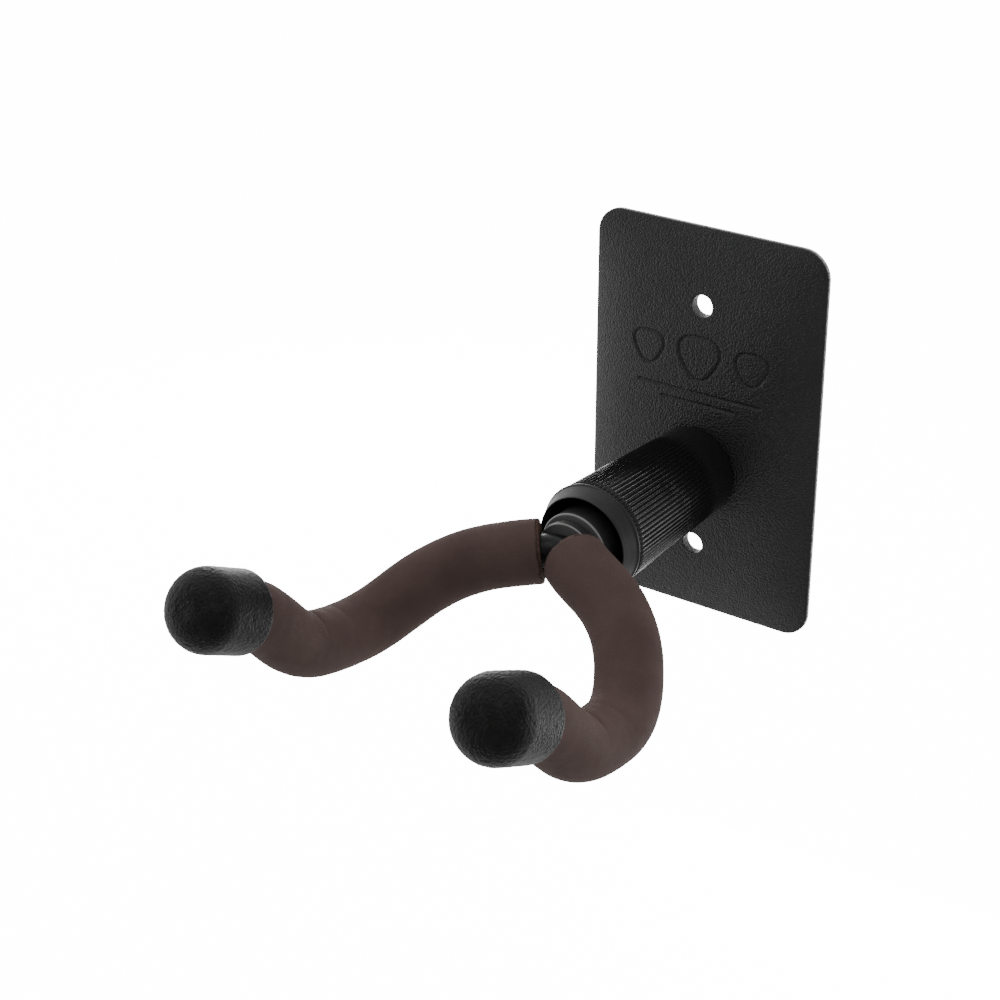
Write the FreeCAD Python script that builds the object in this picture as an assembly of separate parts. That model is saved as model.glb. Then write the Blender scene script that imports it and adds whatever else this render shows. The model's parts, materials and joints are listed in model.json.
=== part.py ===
"""Wall guitar hanger: a dished wall plate, a ribbed hub on a steel post, and a swivelling padded yoke.

Millimetres, +Z up. The origin is the centre of the plate's wall-side plane, midway between its
screw holes. -Y points out of the wall into the room, and +Y points into the wall. "Forward" means
the distance from the wall, which is -Y. The hub and the swivel lie on one axis parallel to Y.
"""
import FreeCAD, Part
import math
import os

from FreeCAD import Vector

os.makedirs("parts", exist_ok=True)

# Wall plate: pressed sheet steel, nominally 2.5 in by 4 in, crowned towards the room
PLATE_WIDTH = 64.2
PLATE_HEIGHT = 102.2
PLATE_CORNER_R = 7.0
PLATE_EDGE = 1.2            # height of the cut edge above the wall
PLATE_CROWN = 3.5           # rise of the middle above the rim
PLATE_LAND_DROP = 0.6       # how far the rim is coined flat to make the land that meets the wall
CROWN_OVERRUN = 1.1         # the crown's surface is this much larger than the plate
PLATE_BORE_GAP = 0.05       # between the plate's middle hole and the post
SCREW_SPACING = 64.0
SCREW_HOLE_R = 2.8
SCREW_COLLAR_R = 3.8        # a short collar is drawn from the sheet behind each screw hole
SCREW_COLLAR_REAR = 1.3

# Hub: a steel post in a ribbed plastic sleeve
HUB_Z = -11.2               # the hub's axis, below the plate's centre
POST_R = 8.9
POST_REAR = 0.8
POST_FRONT = 58.6
POST_RIM_ROUND = 0.5
FLANGE_R = 12.0
FLANGE_FRONT = 2.7
WELD_LEG = 1.2
WELD_SETBACK = 0.05         # the weld bead starts this far behind the flange's front
NUT_WELL_R = 6.8
NUT_WELL_DEPTH = 10.6
BUSH_OUTER_R = 6.0
BUSH_LENGTH = 9.5
BUSH_FLANGE_R = 6.7
BUSH_FLANGE = 0.6
POST_RELIEF_R = 5.0
CLIP_GROOVE_R = 8.35
CLIP_REAR = 37.2
CLIP_THICKNESS = 1.0
CLIP_OUTER_R = 10.3
CLIP_GAP = 6.0

SLEEVE_REAR = 4.75          # the sleeve starts on the plate's crown
SLEEVE_REAR_R = 11.5
SLEEVE_FRONT = 50.6
SLEEVE_FRONT_R = 13.3
SLEEVE_BORE_R = 8.95
SLEEVE_RECESS_REAR = 37.0
SLEEVE_RECESS_R = 10.9
SPIGOT_SEAT_R = 11.9
SPIGOT_REAR = 46.8
RIB_COUNT = 72
RIB_DEPTH = 0.5
RIB_CREST = 0.16            # half the crest's width, as a share of the pitch
RIB_ROOT = 0.40             # from the crest's middle to the root, as a share of the pitch
RIB_REAR = 12.7             # the ribs stop short of the plate and leave a smooth collar

BEZEL_LIP_R = 13.5
BEZEL_LIP = 0.5
BEZEL_FRONT = 55.3
BEZEL_FRONT_R = 11.8
BEZEL_BORE_R = 11.3
BEZEL_NOSE = 1.0            # depth of the bezel's rolled front edge
BEZEL_NOSE_EASE = 0.1       # how far the rolled edge eases in and out of the taper
BEZEL_LIP_SLOPE = 0.25      # drop from the lip to the start of the taper

# Swivel: a shouldered stem in two flanged bushings, held by a lock nut
STEM_R = 3.95
STEM_CLEARANCE = 0.05
STEM_HEAD_R = 7.75
STEM_HEAD_FRONT = 61.9
STEM_HEAD_ROUND = 0.4
THRUST_WASHER = 0.5
THRUST_WASHER_R = 7.1
THREAD_R = 3.0
THREAD_DEPTH = 0.35
THREAD_CLEARANCE = 0.02
THREAD_PITCH = 1.0
THREAD_REAR = 1.4
NUT_FLATS = 10.0
NUT_HEIGHT = 5.0
NUT_COLLAR = 1.2
NUT_COLLAR_DRAFT = 0.3
NUT_CHAMFER = 0.5
INSERT_OUTER_R = 4.1
INSERT_THICKNESS = 1.4
FLAT_WASHER = 1.0
WASHER_R = 6.0
WASHER_BORE_R = 3.2
SPRING_BORE_R = 4.1
SPRING_SHEET = 0.6
SPRING_RISE = 0.7
AXIAL_PLAY = 0.03           # between the turning and the fixed faces at each bushing

# Yoke: one bent rod with a foam sleeve and a rubber cap on each arm
ROD_R = 4.0
FOAM_R = 7.7
FOAM_START = 5.7            # along the rod from the middle of its bend
FOAM_MIDDLE_GAP = 0.4       # between the two sleeves' nearest corners
# corners of the arm's centre line: across, forward, and above the hub's axis
ARM_MIDDLE = (0.0, 61.4, 1.3)
ARM_CORNERS = [
    (7.4, 67.1, 0.6),
    (25.0, 72.6, -4.5),
    (36.2, 91.2, -17.5),
    (37.4, 113.0, -13.9),
    (37.3, 127.5, 2.0),
]
ARM_TIP = (37.6, 135.7, 5.9)
MIDDLE_BEND = 7.0
ARM_BENDS = [11.5, 35.0, 19.0, 23.0, 11.5]
CAP_R = 9.6
CAP_LENGTH = 18.5
CAP_OVERLAP = 4.0           # from the cap's mouth to ARM_TIP
CAP_END_ROUND = 7.4
CAP_MOUTH_ROUND = 0.5
FOAM_PAST_TIP = 3.0
ROD_PAST_TIP = 8.5

TOOL = 60.0                 # cutting solids are at least this long, more than any wall they cut

# Places along the hub's axis that follow from the sizes above
NUT_WELL_FRONT = POST_REAR + NUT_WELL_DEPTH
REAR_BUSH_FRONT = NUT_WELL_FRONT + BUSH_LENGTH
FRONT_BUSH_REAR = POST_FRONT - BUSH_LENGTH
THRUST_REAR = POST_FRONT + BUSH_FLANGE + AXIAL_PLAY
HEAD_REAR = THRUST_REAR + THRUST_WASHER
SPRING_FRONT = NUT_WELL_FRONT - BUSH_FLANGE - AXIAL_PLAY
SPRING_REAR = SPRING_FRONT - SPRING_RISE - SPRING_SHEET
WASHER_REAR = SPRING_REAR - FLAT_WASHER
NUT_REAR = WASHER_REAR - NUT_HEIGHT
SHOULDER = WASHER_REAR + FLAT_WASHER


def at(across, forward, up):
    """A point given from the hub's axis at the wall."""
    return Vector(across, -forward, HUB_Z + up)


def revolve(outline):
    """A solid of revolution about the hub's axis, from (forward, radius) corners."""
    points = [at(radius, forward, 0) for forward, radius in outline]
    face = Part.Face(Part.makePolygon(points + points[:1]))
    return face.revolve(at(0, 0, 0), Vector(0, 1, 0), 360)


def ring(rear, front, inner, outer):
    """A plain ring or tube on the hub's axis."""
    return revolve([(rear, inner), (front, inner), (front, outer), (rear, outer)])


def disc(rear, front, radius):
    """A plain round bar on the hub's axis."""
    return Part.makeCylinder(radius, front - rear, at(0, rear, 0), Vector(0, -1, 0))


def round_circle(shape, forward, radius, size):
    """Round the circular edge of that radius that lies at that distance from the wall."""
    edges = []
    for edge in shape.Edges:
        circle = edge.Curve
        if isinstance(circle, Part.Circle):
            same_place = abs(-circle.Center.y - forward) < 0.001
            if same_place and abs(circle.Radius - radius) < 0.001:
                edges.append(edge)
    return shape.makeFillet(size, edges)


# ---------------------------------------------------------------- wall plate

def crown_face(forward_at_rim):
    """The crowned sheet surface: crown * (1 - x^4) * (1 - z^4), as a degree 4 Bezier patch."""
    reach = CROWN_OVERRUN ** 4
    factors = [1 - reach * (-1) ** i for i in range(5)]
    surface = Part.BezierSurface()
    surface.increase(4, 4)
    for i in range(5):
        for j in range(5):
            x = PLATE_WIDTH / 2 * CROWN_OVERRUN * (i - 2) / 2
            z = PLATE_HEIGHT / 2 * CROWN_OVERRUN * (j - 2) / 2
            forward = forward_at_rim + PLATE_CROWN * factors[i] * factors[j]
            surface.setPole(i + 1, j + 1, Vector(x, -forward, z))
    return surface.toShape()


def plate_blank():
    """A block with the plate's outline, thicker than the plate on both sides."""
    corner = Vector(-PLATE_WIDTH / 2, -TOOL / 2, -PLATE_HEIGHT / 2)
    block = Part.makeBox(PLATE_WIDTH, TOOL / 2, PLATE_HEIGHT, corner)
    corners = []
    for edge in block.Edges:
        start, end = edge.Vertexes[0].Point, edge.Vertexes[1].Point
        if abs(start.y - end.y) > TOOL / 4:
            corners.append(edge)
    return block.makeFillet(PLATE_CORNER_R, corners)


def wall_plate():
    above = crown_face(PLATE_EDGE).extrude(Vector(0, -TOOL, 0))
    below = crown_face(-PLATE_LAND_DROP).extrude(Vector(0, TOOL, 0))
    plate = plate_blank().cut(above).cut(below)
    for side in (-1, 1):
        height = side * SCREW_SPACING / 2
        collar = Part.makeCylinder(SCREW_COLLAR_R, PLATE_CROWN - SCREW_COLLAR_REAR,
                                   Vector(0, -SCREW_COLLAR_REAR, height), Vector(0, -1, 0))
        hole = Part.makeCylinder(SCREW_HOLE_R, TOOL, Vector(0, TOOL / 2, height), Vector(0, -1, 0))
        plate = plate.fuse(collar).cut(hole)
    return plate.cut(disc(-TOOL / 2, TOOL / 2, POST_R + PLATE_BORE_GAP))


# ---------------------------------------------------------------- hub

def hub_post():
    """A tube with a welded rear flange, bored for the bushings and counterbored for the nut."""
    weld_start = FLANGE_FRONT - WELD_SETBACK
    post = revolve([
        (POST_REAR, NUT_WELL_R), (NUT_WELL_FRONT, NUT_WELL_R), (NUT_WELL_FRONT, BUSH_OUTER_R),
        (REAR_BUSH_FRONT, BUSH_OUTER_R), (REAR_BUSH_FRONT, POST_RELIEF_R),
        (FRONT_BUSH_REAR, POST_RELIEF_R), (FRONT_BUSH_REAR, BUSH_OUTER_R),
        (POST_FRONT, BUSH_OUTER_R), (POST_FRONT, POST_R),
        (CLIP_REAR + CLIP_THICKNESS, POST_R), (CLIP_REAR + CLIP_THICKNESS, CLIP_GROOVE_R),
        (CLIP_REAR, CLIP_GROOVE_R), (CLIP_REAR, POST_R),
        (FLANGE_FRONT, POST_R), (FLANGE_FRONT, FLANGE_R), (weld_start, FLANGE_R + WELD_LEG),
        (weld_start - WELD_LEG, FLANGE_R), (POST_REAR, FLANGE_R),
    ])
    return round_circle(post, POST_FRONT, POST_R, POST_RIM_ROUND)


def sleeve_radius(forward):
    """The sleeve's outer radius, which widens evenly from the plate to the bezel."""
    share = (forward - SLEEVE_REAR) / (SLEEVE_FRONT - SLEEVE_REAR)
    return SLEEVE_REAR_R + share * (SLEEVE_FRONT_R - SLEEVE_REAR_R)


def rib_section(forward):
    """The sleeve's ribbed outline: each rib has a root, two flanks and a narrow crest."""
    crest_r = sleeve_radius(forward)
    root_r = crest_r - RIB_DEPTH
    pitch = 2 * math.pi / RIB_COUNT
    rib_corners = [(-RIB_ROOT, root_r), (-RIB_CREST, crest_r), (RIB_CREST, crest_r), (RIB_ROOT, root_r)]
    points = []
    for rib in range(RIB_COUNT):
        for share, radius in rib_corners:
            angle = (rib + share) * pitch
            points.append(at(radius * math.cos(angle), forward, radius * math.sin(angle)))
    return Part.makePolygon(points + points[:1])


def ribbed_sleeve():
    ribbed = Part.makeLoft([rib_section(RIB_REAR), rib_section(SLEEVE_FRONT)], True, True)
    collar = Part.makeCone(SLEEVE_REAR_R, sleeve_radius(RIB_REAR), RIB_REAR - SLEEVE_REAR,
                           at(0, SLEEVE_REAR, 0), Vector(0, -1, 0))
    bores = disc(0, TOOL, SLEEVE_BORE_R)
    bores = bores.fuse(disc(SLEEVE_RECESS_REAR, TOOL, SLEEVE_RECESS_R))
    bores = bores.fuse(disc(SPIGOT_REAR, TOOL, SPIGOT_SEAT_R))
    return ribbed.fuse(collar).cut(bores)


def front_bezel():
    """The smooth collar that plugs into the sleeve and tapers to a thin rolled edge."""
    nose_rear = BEZEL_FRONT - BEZEL_NOSE / 2
    lip_front = SLEEVE_FRONT + BEZEL_LIP
    return revolve([
        (SPIGOT_REAR, BEZEL_BORE_R), (nose_rear, BEZEL_BORE_R),
        (BEZEL_FRONT, BEZEL_BORE_R + BEZEL_NOSE_EASE), (BEZEL_FRONT, BEZEL_FRONT_R - BEZEL_NOSE_EASE),
        (nose_rear, BEZEL_FRONT_R + BEZEL_NOSE_EASE), (lip_front, BEZEL_LIP_R - BEZEL_LIP_SLOPE),
        (lip_front - BEZEL_NOSE_EASE, BEZEL_LIP_R), (SLEEVE_FRONT, BEZEL_LIP_R),
        (SLEEVE_FRONT, SPIGOT_SEAT_R), (SPIGOT_REAR, SPIGOT_SEAT_R),
    ])


def sleeve_clip():
    """An open retaining ring in the post's groove, which keeps the sleeve against the plate."""
    front = CLIP_REAR + CLIP_THICKNESS
    clip = ring(CLIP_REAR, front, CLIP_GROOVE_R, CLIP_OUTER_R)
    gap = Part.makeBox(CLIP_GAP, TOOL, TOOL, at(-CLIP_GAP / 2, TOOL, -TOOL))
    return clip.cut(gap)


# ---------------------------------------------------------------- swivel

def bushing(seat, direction):
    """A flanged bushing: its flange lies on the seat, and its tube runs along the direction."""
    inner = STEM_R + STEM_CLEARANCE
    tube_end = seat + direction * BUSH_LENGTH
    flange_end = seat - direction * BUSH_FLANGE
    return revolve([
        (tube_end, inner), (flange_end, inner), (flange_end, BUSH_FLANGE_R),
        (seat, BUSH_FLANGE_R), (seat, BUSH_OUTER_R), (tube_end, BUSH_OUTER_R),
    ])


def front_bushing():
    return bushing(POST_FRONT, -1)


def rear_bushing():
    return bushing(NUT_WELL_FRONT, 1)


def thrust_washer():
    return ring(THRUST_REAR, HEAD_REAR, STEM_R + STEM_CLEARANCE, THRUST_WASHER_R)


def thread_outline():
    """Corners of the stem's threaded end, from its tip to the shoulder."""
    corners = [(THREAD_REAR, 0), (THREAD_REAR, THREAD_R - THREAD_DEPTH)]
    turns = int((SHOULDER - THREAD_REAR) / THREAD_PITCH)
    for turn in range(turns):
        root = THREAD_REAR + turn * THREAD_PITCH
        corners.append((root + 0.4 * THREAD_PITCH, THREAD_R - THREAD_CLEARANCE))
        corners.append((root + 0.6 * THREAD_PITCH, THREAD_R - THREAD_CLEARANCE))
        corners.append((root + THREAD_PITCH, THREAD_R - THREAD_DEPTH))
    corners.append((SHOULDER, THREAD_R - THREAD_DEPTH))
    return corners


def swivel_stem(rod):
    """The shouldered pin with its thread and its round head, notched where the rod is welded in."""
    outline = thread_outline() + [
        (SHOULDER, STEM_R), (HEAD_REAR, STEM_R), (HEAD_REAR, STEM_HEAD_R),
        (STEM_HEAD_FRONT, STEM_HEAD_R), (STEM_HEAD_FRONT, 0),
    ]
    stem = round_circle(revolve(outline), STEM_HEAD_FRONT, STEM_HEAD_R, STEM_HEAD_ROUND)
    return stem.cut(rod)


def spring_washer():
    """A conical washer, pressed between the flat washer and the rear bushing."""
    return revolve([
        (SPRING_FRONT - SPRING_SHEET, SPRING_BORE_R), (SPRING_FRONT, SPRING_BORE_R),
        (SPRING_REAR + SPRING_SHEET, WASHER_R), (SPRING_REAR, WASHER_R),
    ])


def flat_washer():
    return ring(WASHER_REAR, SPRING_REAR, WASHER_BORE_R, WASHER_R)


def hexagon(rear, front):
    """A hexagonal bar on the hub's axis."""
    radius = NUT_FLATS / math.sqrt(3)
    points = []
    for corner in range(7):
        angle = corner * math.pi / 3
        points.append(at(radius * math.cos(angle), rear, radius * math.sin(angle)))
    return Part.Face(Part.makePolygon(points)).extrude(Vector(0, rear - front, 0))


def lock_nut():
    """A hexagon nut with chamfered corners, and a round rear collar that holds the nylon ring."""
    corner_r = NUT_FLATS / math.sqrt(3)
    hex_rear = NUT_REAR + NUT_COLLAR
    chamfered = revolve([
        (hex_rear, 0), (hex_rear, NUT_FLATS / 2), (hex_rear + NUT_CHAMFER, corner_r),
        (WASHER_REAR - NUT_CHAMFER, corner_r), (WASHER_REAR, NUT_FLATS / 2), (WASHER_REAR, 0),
    ])
    body = hexagon(hex_rear, WASHER_REAR).common(chamfered)
    collar = revolve([(NUT_REAR, 0), (NUT_REAR, NUT_FLATS / 2 - 2 * NUT_COLLAR_DRAFT),
                      (hex_rear, NUT_FLATS / 2 - NUT_COLLAR_DRAFT), (hex_rear, 0)])
    nut = body.fuse(collar).cut(disc(NUT_REAR - 1, WASHER_REAR + 1, THREAD_R))
    return nut.cut(disc(NUT_REAR - 1, NUT_REAR + INSERT_THICKNESS, INSERT_OUTER_R))


def lock_nut_insert():
    return ring(NUT_REAR, NUT_REAR + INSERT_THICKNESS, THREAD_R, INSERT_OUTER_R)


# ---------------------------------------------------------------- yoke

def point(corner, side):
    across, forward, up = corner
    return at(side * across, forward, up)


def beyond(start, towards, distance):
    """The point at that distance from start, on the way to towards."""
    direction = (towards - start).normalize()
    return start + direction * distance


def bent_path(corners, bends):
    """A wire of straight runs joined by tangent arcs, one bend radius per inner corner."""
    edges = []
    start = corners[0]
    for before, corner, after, radius in zip(corners, corners[1:], corners[2:], bends):
        into = (before - corner).normalize()
        out = (after - corner).normalize()
        half_turn = (math.pi - into.getAngle(out)) / 2
        tangent = radius * math.tan(half_turn)
        middle = (into + out).normalize() * (radius / math.cos(half_turn) - radius)
        first = corner + into * tangent
        last = corner + out * tangent
        edges.append(Part.LineSegment(start, first).toShape())
        edges.append(Part.Arc(first, corner + middle, last).toShape())
        start = last
    edges.append(Part.LineSegment(start, corners[-1]).toShape())
    return Part.Wire(edges)


def round_bar(path, radius):
    """A round bar along a wire."""
    first = path.OrderedEdges[0]
    start = path.OrderedVertexes[0].Point
    direction = first.tangentAt(first.FirstParameter)
    profile = Part.Wire([Part.makeCircle(radius, start, direction)])
    return path.makePipeShell([profile], True, True)


def arm_tip(side, past):
    """A point on the arm's last straight run, at that distance past ARM_TIP."""
    tip = point(ARM_TIP, side)
    last_corner = point(ARM_CORNERS[-1], side)
    return beyond(last_corner, tip, (tip - last_corner).Length + past)


def yoke_rod():
    """One bar bent to both arms, through the middle of the stem's head."""
    right = [point(corner, 1) for corner in ARM_CORNERS]
    left = [point(corner, -1) for corner in ARM_CORNERS]
    corners = [arm_tip(-1, ROD_PAST_TIP)] + left[::-1] + [point(ARM_MIDDLE, 1)] + right
    corners.append(arm_tip(1, ROD_PAST_TIP))
    path = bent_path(corners, ARM_BENDS[::-1] + [MIDDLE_BEND] + ARM_BENDS)
    return round_bar(path, ROD_R)


def arm_sleeve(side, rod, stem):
    """The foam tube on one arm, trimmed where it meets the other arm's tube."""
    corners = [point(corner, side) for corner in ARM_CORNERS]
    start = beyond(point(ARM_MIDDLE, side), corners[0], FOAM_START)
    path = bent_path([start] + corners + [arm_tip(side, FOAM_PAST_TIP)], ARM_BENDS)
    foam = round_bar(path, FOAM_R).cut(rod).cut(stem)
    trim_x = side * FOAM_MIDDLE_GAP / 2 - (0 if side < 0 else TOOL)
    return foam.cut(Part.makeBox(TOOL, 2 * TOOL, TOOL, Vector(trim_x, -2 * TOOL, HUB_Z - TOOL / 2)))


def end_cap(side, rod):
    """The rubber cap on one arm: it grips the foam at its mouth and the rod's end inside."""
    tip = arm_tip(side, 0)
    direction = (tip - arm_tip(side, -1)).normalize()
    mouth = tip - direction * CAP_OVERLAP
    cap = Part.makeCylinder(CAP_R, CAP_LENGTH, mouth, direction)
    far = [edge for edge in cap.Edges if near_plane(edge, mouth, direction, CAP_LENGTH)]
    cap = cap.makeFillet(CAP_END_ROUND, far)
    near = [edge for edge in cap.Edges if near_plane(edge, mouth, direction, 0)]
    cap = cap.makeFillet(CAP_MOUTH_ROUND, near)
    seat = Part.makeCylinder(FOAM_R, CAP_OVERLAP + FOAM_PAST_TIP, mouth, direction)
    return cap.cut(seat).cut(rod)


def near_plane(edge, origin, direction, distance):
    """Whether a circular edge lies on the plane at that distance along the direction."""
    if not isinstance(edge.Curve, Part.Circle):
        return False
    return abs((edge.Curve.Center - origin).dot(direction) - distance) < 0.001


# ---------------------------------------------------------------- the assembly

def build():
    rod = yoke_rod()
    stem = swivel_stem(rod)
    nodes = {
        "wall_plate": wall_plate(),
        "hub_post": hub_post(),
        "ribbed_sleeve": ribbed_sleeve(),
        "front_bezel": front_bezel(),
        "sleeve_clip": sleeve_clip(),
        "front_bushing": front_bushing(),
        "rear_bushing": rear_bushing(),
        "thrust_washer": thrust_washer(),
        "swivel_stem": stem,
        "spring_washer": spring_washer(),
        "flat_washer": flat_washer(),
        "lock_nut": lock_nut(),
        "lock_nut_insert": lock_nut_insert(),
        "yoke_rod": rod,
    }
    for name, side in (("left", -1), ("right", 1)):
        nodes["arm_sleeve_" + name] = arm_sleeve(side, rod, stem)
        nodes["end_cap_" + name] = end_cap(side, rod)
    return nodes


for name, shape in build().items():
    solids = shape.Solids
    if len(solids) != 1 or not shape.isValid():
        raise RuntimeError(f"{name}: {len(solids)} solids, valid {shape.isValid()}")
    solids[0].exportStep(f"parts/{name}.step")
    box = solids[0].BoundBox
    print(f"{name:18s} {solids[0].Volume:9.1f} mm3  x {box.XMin:.1f}..{box.XMax:.1f}"
          f"  y {box.YMin:.1f}..{box.YMax:.1f}  z {box.ZMin:.1f}..{box.ZMax:.1f}")
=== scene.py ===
"""The looks of the wall guitar hanger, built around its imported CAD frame.

Metres, in the CAD's frame: +Z up, -Y out of the wall. "Forward" is the distance from the wall.
"""

import json
import math

import bmesh
import bpy
import numpy as np
from mathutils import Matrix, Vector, noise
from mathutils.geometry import delaunay_2d_cdt

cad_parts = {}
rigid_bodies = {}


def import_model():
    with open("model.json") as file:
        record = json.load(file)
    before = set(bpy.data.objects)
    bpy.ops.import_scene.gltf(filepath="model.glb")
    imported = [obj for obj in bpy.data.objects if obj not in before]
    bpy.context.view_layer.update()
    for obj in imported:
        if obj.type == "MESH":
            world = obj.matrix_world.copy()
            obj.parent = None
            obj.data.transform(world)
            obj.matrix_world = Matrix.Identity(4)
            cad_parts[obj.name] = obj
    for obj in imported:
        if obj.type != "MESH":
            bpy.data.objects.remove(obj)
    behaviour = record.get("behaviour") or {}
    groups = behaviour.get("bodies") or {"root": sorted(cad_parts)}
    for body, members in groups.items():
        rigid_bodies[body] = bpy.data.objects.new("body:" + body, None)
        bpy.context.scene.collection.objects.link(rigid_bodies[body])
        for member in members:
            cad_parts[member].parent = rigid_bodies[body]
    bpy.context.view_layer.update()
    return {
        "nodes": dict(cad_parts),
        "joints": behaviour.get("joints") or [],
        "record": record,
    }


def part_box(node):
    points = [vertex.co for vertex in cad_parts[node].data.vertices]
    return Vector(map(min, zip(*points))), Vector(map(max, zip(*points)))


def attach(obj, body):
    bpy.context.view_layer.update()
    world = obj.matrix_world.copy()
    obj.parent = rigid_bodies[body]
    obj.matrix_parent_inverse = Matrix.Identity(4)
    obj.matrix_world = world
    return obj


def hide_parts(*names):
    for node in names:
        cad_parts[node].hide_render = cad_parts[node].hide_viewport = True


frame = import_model()

MM = 0.001
HUB_Z = frame["joints"][0]["pos_m"][2]      # the swivel's axis runs along Y at this height
ROOT = frame["joints"][0]["parent"]
YOKE = frame["joints"][0]["child"]

# Camera, in degrees and metres, with its lens in millimetres
CAMERA_AZIMUTH = 35.64
CAMERA_ELEVATION = 25.88
CAMERA_DISTANCE = 0.568
CAMERA_LENS = 81.4
CAMERA_ASIDE = -0.0512
CAMERA_BELOW = -0.0093

# Floor and light. Each softbox: name, azimuth, elevation, distance, width, height, radiance
FLOOR_DROP = 0.35
FLOOR_SIZE = 6.0
FLOOR_GLOW = 15.0
SOFTBOX_ORIGIN = 0.06       # softbox distances are measured from this far out of the wall
SOFTBOX_AIM = 0.07
BACKDROP_SIDE = (215, -15)              # the surround is brightest at this azimuth and elevation
SURROUND = (-0.5, 0.8, 0.40, 1.25)      # from and to, as cosines from that side, and their radiances
SOFTBOXES = [
    ("key", -10, 66, 1.0, 0.7, 0.5, 1.5),
    ("left", -72, -8, 1.0, 0.24, 0.36, 1.9),
    ("right", 100, -5, 1.0, 0.3, 0.5, 0.5),
    ("right_rear", 137, -12, 1.0, 0.16, 0.4, 10.0),
    ("left_rear", 222, 2, 1.0, 0.22, 0.5, 6.0),
    ("low_rear", 183, -36, 0.5, 0.3, 0.12, 4.0),
]

# Wall plate
PLATE_CORNER_R = 7.0 * MM
PLATE_EDGE = 1.2 * MM
PLATE_CROWN = 3.5 * MM
PLATE_LAND_DROP = 0.6 * MM
PLATE_BEVEL = 0.22 * MM
SCREW_SPACING = 64.0 * MM
SCREW_HOLE_R = 2.8 * MM
SCREW_COLLAR_R = 3.8 * MM       # the short collar behind each screw hole
SCREW_COLLAR_REAR = 1.3 * MM
HUB_HOLE_INSET = 4.3 * MM       # how far the plate's hub hole is inside the sleeve's front radius
SHEET_GRID = 1.3 * MM
STAMP_GRID = 0.2 * MM
GRID_MARGIN = 0.9 * MM          # the grid stays that far from the sheet's rims
GREY_RIMS = (1.0, 0.12, 0.12, 0.0)      # how much speckled light grey the outer rim, the two screw holes and the hub hole get
BEVEL_GREY = 0.2                        # share of that grey on the rounding of the edge
BEVEL_STEPS = ((0.38, 0.08), (0.71, 0.29), (1.0, 1.0))      # shares of the rounding's width and depth

# Stamped emblem on the plate
STAMP_Z = 19.0 * MM
STAMP_PICKS = [(-14.5 * MM, 4.2 * MM), (0.0, 5.6 * MM), (14.5 * MM, 4.2 * MM)]  # place and size
STAMP_LINES = [(9.4 * MM, 17.0 * MM), (6.6 * MM, 10.0 * MM)]                    # height and reach
STAMP_DEPTH = 0.42 * MM
STAMP_WIDTH = 0.36 * MM
STAMP_AREA = (20.5 * MM, 5.0 * MM, 26.5 * MM)   # reach, bottom and top of the finely meshed part
PICK_BOW = 0.10                                 # how three-cornered a plectrum is

# Hub
RIB_COUNT = 72
RIB_STEPS = 16
RIB_SHARPNESS = 1.7         # above 1, the crests are narrower than the grooves
RIB_DEPTH = 0.5 * MM
RIB_REAR = 12.7 * MM
RIB_RUN_OUT = 5.0 * MM
SLEEVE_TAPER = 1.8 * MM     # the sleeve's radius grows by this towards the front
SLEEVE_BORE_R = 9.2 * MM
SLEEVE_RECESS_REAR = 37.0 * MM
SLEEVE_RECESS_R = 10.9 * MM
SLEEVE_MOUTH_REAR = 46.8 * MM
SLEEVE_MOUTH_R = 12.0 * MM
SLEEVE_EDGE = 0.3 * MM
BEZEL_BORE_R = 11.3 * MM
BEZEL_FRONT_R = 11.8 * MM
SPIGOT_SEAT_R = 11.9 * MM
POST_R = 8.9 * MM
POST_RIM_ROUND = 0.45 * MM
NUT_WELL_R = 6.8 * MM
NUT_WELL_FRONT = 11.4 * MM
BUSH_SEAT_R = 6.02 * MM
CLIP_GROOVE_R = 8.35 * MM
RIM_LIGHT_REACH = 0.3 * MM     # how far the painted highlight on a front rim reaches
FACE_PAINTED_LIGHT = 0.4              # how much of the painted light a turned front face gets, where its rim is 1
FLANGE_R = 12.0 * MM
FLANGE_FRONT = 2.7 * MM
WELD_LEG = 1.2 * MM

# Swivel stem
STEM_FRONT = 61.9 * MM
STEM_HEAD_R = 7.75 * MM
STEM_HEAD_ROUND = 0.35 * MM
STEM_SHOULDER = 9.5 * MM    # the thread ends here
STEM_SHAFT_R = 3.95 * MM
THREAD_PITCH = 1.0 * MM
THREAD_R = 2.98 * MM
THREAD_DEPTH = 0.35 * MM
THREAD_TIP_R = 2.3 * MM
THREAD_ROWS = 8             # rows of points in each turn of the thread
THREAD_FADE = 1.2 * MM      # how far before the shoulder the thread runs out
THREAD_LEAD = 0.5 * MM
POLE_R = 0.05 * MM          # the small face that closes a turned end

# Yoke: the centre line's corners, across, forward and above the hub's axis, in mm as in the CAD.
# Each SCALE below is a noise's frequency per metre.
ARM_MIDDLE = (0.0, 61.4, 1.3)
ARM_CORNERS = [
    (7.4, 67.1, 0.6),
    (25.0, 72.6, -4.5),
    (36.2, 91.2, -17.5),
    (37.4, 113.0, -13.9),
    (37.3, 127.5, 2.0),
]
ARM_TIP = (37.6, 135.7, 5.9)
MIDDLE_BEND = 7.0
ARM_BENDS = [11.5, 35.0, 19.0, 23.0, 11.5]
ROD_R = 4.0 * MM
FOAM_R = 7.7 * MM
FOAM_START = 5.7 * MM
FOAM_PAST_TIP = 3.0 * MM
FOAM_GAP = 0.4 * MM
CREASES = [(0.56, 0.45), (0.605, 0.12), (0.672, 1.1), (0.735, 0.2)]     # arm share, depth in mm
CREASE_WIDTH = 1.1 * MM
CREASE_WANDER = 0.5 * MM
CREASE_WANDER_SCALE = 200
FOAM_UNEVEN = 0.10 * MM
FOAM_UNEVEN_SCALE = 90
FOAM_ROW_GAP = 0.45 * MM
FOAM_EASING = 60            # passes that blend the foam's bends into its straight runs
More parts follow.
